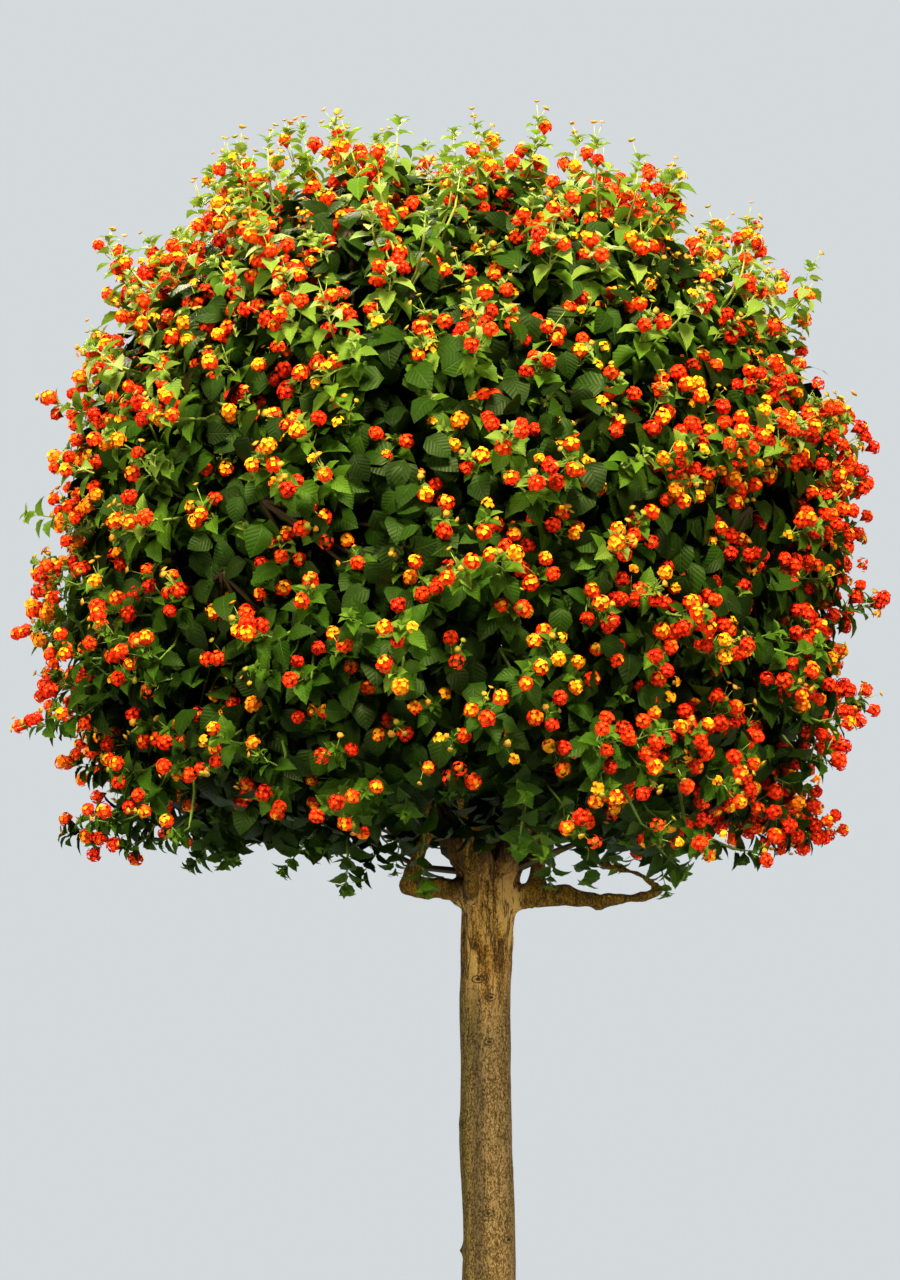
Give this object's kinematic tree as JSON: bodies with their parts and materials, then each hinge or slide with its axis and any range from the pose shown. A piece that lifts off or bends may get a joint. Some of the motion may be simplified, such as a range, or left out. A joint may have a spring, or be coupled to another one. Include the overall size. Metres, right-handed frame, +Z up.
{
  "type": "potted lantana standard tree",
  "caption": "Lantana grown as a standard: a round crown of leaves and domed flower heads on a bare woody trunk, in a plain round clay pot of soil.",
  "frame": {"origin": "middle of the pot's flat base, under the foot of the trunk", "axes": "+Z up the trunk, +X to the right and -Y to the front, as the picture shows the tree"},
  "size_m": [1.5328, 1.5348, 2.6634],
  "materials": {
    "clay": "unglazed, matt",
    "potting_soil": "moist and crumbly",
    "bark": "rough, fissured lengthwise",
    "foliage": "leafy, slightly glossy",
    "blooms": "matt petals, yellow to red orange"
  },
  "bodies": {
    "root": {"pot": "clay", "soil": "potting_soil", "trunk_and_limbs": "bark", "leafy_bough_01": "foliage", "leafy_bough_02": "foliage", "leafy_bough_03": "foliage", "leafy_bough_04": "foliage", "leafy_bough_05": "foliage", "leafy_bough_06": "foliage", "leafy_bough_07": "foliage", "leafy_bough_08": "foliage", "leafy_bough_09": "foliage", "leafy_bough_10": "foliage", "leafy_bough_11": "foliage", "leafy_bough_12": "foliage", "leafy_bough_13": "foliage", "leafy_bough_14": "foliage", "leafy_bough_15": "foliage", "leafy_bough_16": "foliage", "leafy_bough_17": "foliage", "leafy_bough_18": "foliage", "leafy_bough_19": "foliage", "leafy_bough_20": "foliage", "leafy_bough_21": "foliage", "leafy_bough_22": "foliage", "leafy_bough_23": "foliage", "leafy_bough_24": "foliage", "flower_spray_01": "blooms", "flower_spray_02": "blooms", "flower_spray_03": "blooms", "flower_spray_04": "blooms", "flower_spray_05": "blooms", "flower_spray_06": "blooms", "flower_spray_07": "blooms", "flower_spray_08": "blooms", "flower_spray_09": "blooms", "flower_spray_10": "blooms", "flower_spray_11": "blooms", "flower_spray_12": "blooms", "flower_spray_13": "blooms", "flower_spray_14": "blooms", "flower_spray_15": "blooms", "flower_spray_16": "blooms", "flower_spray_17": "blooms", "flower_spray_18": "blooms", "flower_spray_19": "blooms", "flower_spray_20": "blooms", "flower_spray_21": "blooms", "flower_spray_22": "blooms", "flower_spray_23": "blooms", "flower_spray_24": "blooms", "flower_spray_25": "blooms", "flower_spray_26": "blooms", "flower_spray_27": "blooms", "flower_spray_28": "blooms", "flower_spray_29": "blooms", "flower_spray_30": "blooms", "flower_spray_31": "blooms", "flower_spray_32": "blooms"}
  },
  "joints": []
}
